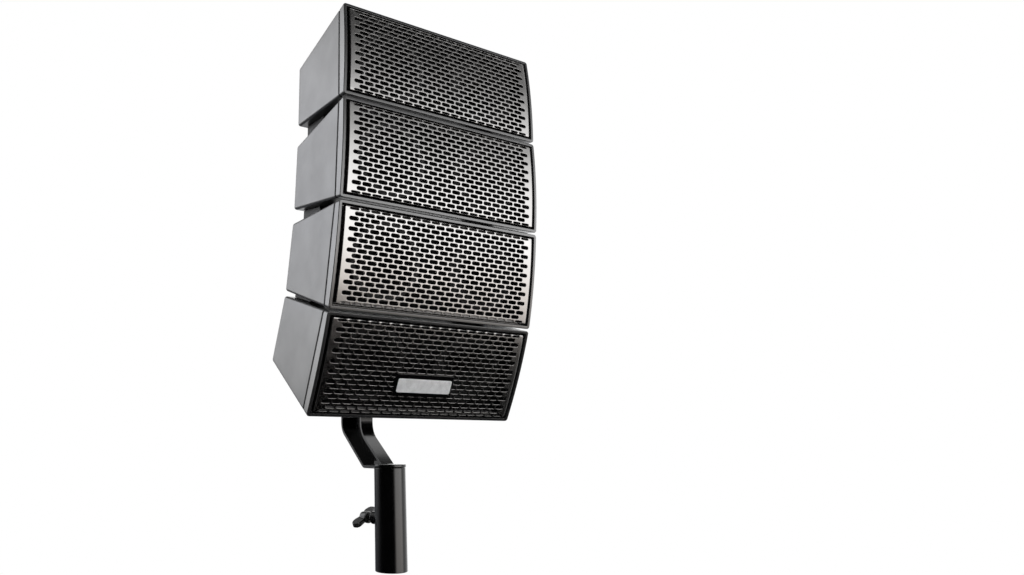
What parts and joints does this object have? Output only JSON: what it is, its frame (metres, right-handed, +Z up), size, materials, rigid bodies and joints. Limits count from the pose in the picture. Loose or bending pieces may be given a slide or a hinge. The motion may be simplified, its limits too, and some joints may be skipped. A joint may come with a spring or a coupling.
{
  "type": "column pa speaker",
  "caption": "Curved column of wedge-shaped loudspeaker modules with perforated grilles, on a rear arm with a pole socket and wing screw.",
  "frame": {"origin": "centre of the pole socket's mouth, on the pole's axis", "axes": "+Z up along the pole, -Y towards the listener in front, +X to the right of someone facing the grilles"},
  "size_m": [0.318, 0.303, 0.7319],
  "materials": {
    "cabinet": "satin moulded black",
    "bezel": "satin moulded black",
    "grille": "satin black powder coat",
    "baffle": "matt black",
    "steel": "gloss black paint",
    "basket": "satin black",
    "cone": "coated paper with a foam roll",
    "horn": "moulded matt black",
    "magnet": "zinc plated",
    "zinc": "zinc plated",
    "knob": "moulded black, with a steel stem",
    "nylon": "natural nylon",
    "board": "green solder mask",
    "badge": "brushed, blank"
  },
  "bodies": {
    "root": {"module_1_cabinet_shell": "cabinet", "module_1_front_bezel": "bezel", "module_1_grille": "grille", "module_1_baffle": "baffle", "module_1_woofer_basket": "basket", "module_1_horn": "horn", "module_1_compression_driver": "magnet", "module_2_cabinet_shell": "cabinet", "module_2_front_bezel": "bezel", "module_2_grille": "grille", "module_2_baffle": "baffle", "module_2_woofer_basket": "basket", "module_2_horn": "horn", "module_2_compression_driver": "magnet", "module_3_cabinet_shell": "cabinet", "module_3_front_bezel": "bezel", "module_3_grille": "grille", "module_3_baffle": "baffle", "module_3_woofer_basket": "basket", "module_3_horn": "horn", "module_3_compression_driver": "magnet", "module_4_cabinet_shell": "cabinet", "module_4_front_bezel": "bezel", "module_4_grille": "grille", "module_4_baffle": "baffle", "module_4_woofer_basket": "basket", "module_4_horn": "horn", "module_4_compression_driver": "magnet", "splay_block_1_2_left": "steel", "splay_block_1_2_right": "steel", "splay_block_2_3_left": "steel", "splay_block_2_3_right": "steel", "splay_block_3_4_left": "steel", "splay_block_3_4_right": "steel", "input_plate": "steel", "input_jack_left": "zinc", "input_jack_right": "zinc", "input_jack_nut_left": "zinc", "input_jack_nut_right": "zinc", "input_plate_screw_1": "zinc", "input_plate_screw_2": "zinc", "input_plate_screw_3": "zinc", "input_plate_screw_4": "zinc", "crossover_board": "board", "badge_plate": "badge", "mount_plate": "steel", "mount_bolt_1": "zinc", "mount_bolt_2": "zinc", "mount_bolt_3": "zinc", "mount_bolt_4": "zinc", "bracket_arm": "steel", "socket_tube": "steel", "socket_cap": "steel", "clamp_boss": "steel"},
    "cone_1": {"module_1_woofer_cone": "cone"},
    "cone_2": {"module_2_woofer_cone": "cone"},
    "cone_3": {"module_3_woofer_cone": "cone"},
    "cone_4": {"module_4_woofer_cone": "cone"},
    "clamp_pad": {"clamp_pad": "nylon"},
    "wing_screw": {"wing_screw": "knob"}
  },
  "joints": [
    {"name": "cone_travel_1", "type": "slide", "parent": "root", "child": "cone_1", "axis": [0, -1, 0], "range_m": [-0.0025, 0.0025], "stiffness_N_per_m": 1500},
    {"name": "cone_travel_2", "type": "slide", "parent": "root", "child": "cone_2", "axis": [0, -0.9976, -0.0698], "range_m": [-0.0025, 0.0025], "stiffness_N_per_m": 1500},
    {"name": "cone_travel_3", "type": "slide", "parent": "root", "child": "cone_3", "axis": [0, -0.9763, -0.2164], "range_m": [-0.0025, 0.0025], "stiffness_N_per_m": 1500},
    {"name": "cone_travel_4", "type": "slide", "parent": "root", "child": "cone_4", "axis": [0, -0.8988, -0.4384], "range_m": [-0.0025, 0.0025], "stiffness_N_per_m": 1500},
    {"name": "screw_travel", "type": "slide", "parent": "root", "child": "clamp_pad", "axis": [-0.3746, 0.9272, 0], "range_m": [-0.0044, 0.0021]},
    {"name": "wing_turn", "type": "hinge", "parent": "clamp_pad", "child": "wing_screw", "pos_m": [0, 0, 0.0655], "axis": [-0.3746, 0.9272, 0], "range_deg": [-1260, 600]}
  ],
  "couplings": [
    {"joint": "screw_travel", "follows": "wing_turn", "m_per_rad": 0.00019894}
  ]
}
